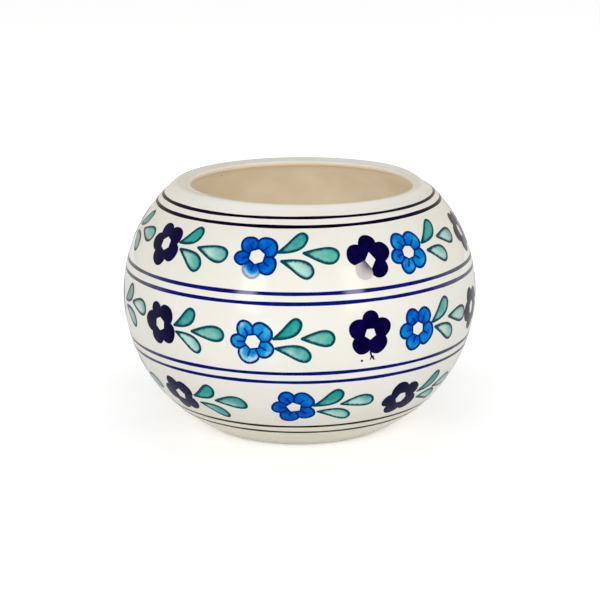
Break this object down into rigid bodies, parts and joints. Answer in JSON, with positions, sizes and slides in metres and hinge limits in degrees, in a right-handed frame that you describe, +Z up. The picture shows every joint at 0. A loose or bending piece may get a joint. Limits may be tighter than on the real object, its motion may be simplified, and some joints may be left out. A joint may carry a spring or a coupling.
{
  "type": "cachepot",
  "caption": "Round-bellied glazed cachepot with a wide mouth, an inward-sloping lip, a sunk foot and painted bands of flowers and leaves; holds a nursery pot.",
  "frame": {"origin": "middle of the standing ring, on the surface that the pot stands on", "axes": "+Z up along the pot's own axis of revolution; -Y faces the picture's camera and +X is to its right"},
  "size_m": [0.18, 0.18, 0.1255],
  "materials": {
    "fired_clay": "matte",
    "white_glaze": "gloss",
    "buff_glaze": "gloss",
    "black_navy_enamel": "gloss",
    "navy_enamel": "gloss",
    "brown_black_enamel": "gloss",
    "cobalt_enamel": "gloss",
    "leaf_enamel": "gloss"
  },
  "bodies": {
    "root": {"clay_body": "fired_clay", "white_glaze": "white_glaze", "lining_glaze": "buff_glaze", "neck_line_upper": "black_navy_enamel", "neck_line_lower": "black_navy_enamel", "shoulder_line_upper": "navy_enamel", "shoulder_line_lower": "navy_enamel", "waist_line_upper": "navy_enamel", "waist_line_lower": "navy_enamel", "foot_line_upper": "brown_black_enamel", "foot_line_lower": "brown_black_enamel"}
  },
  "joints": []
}
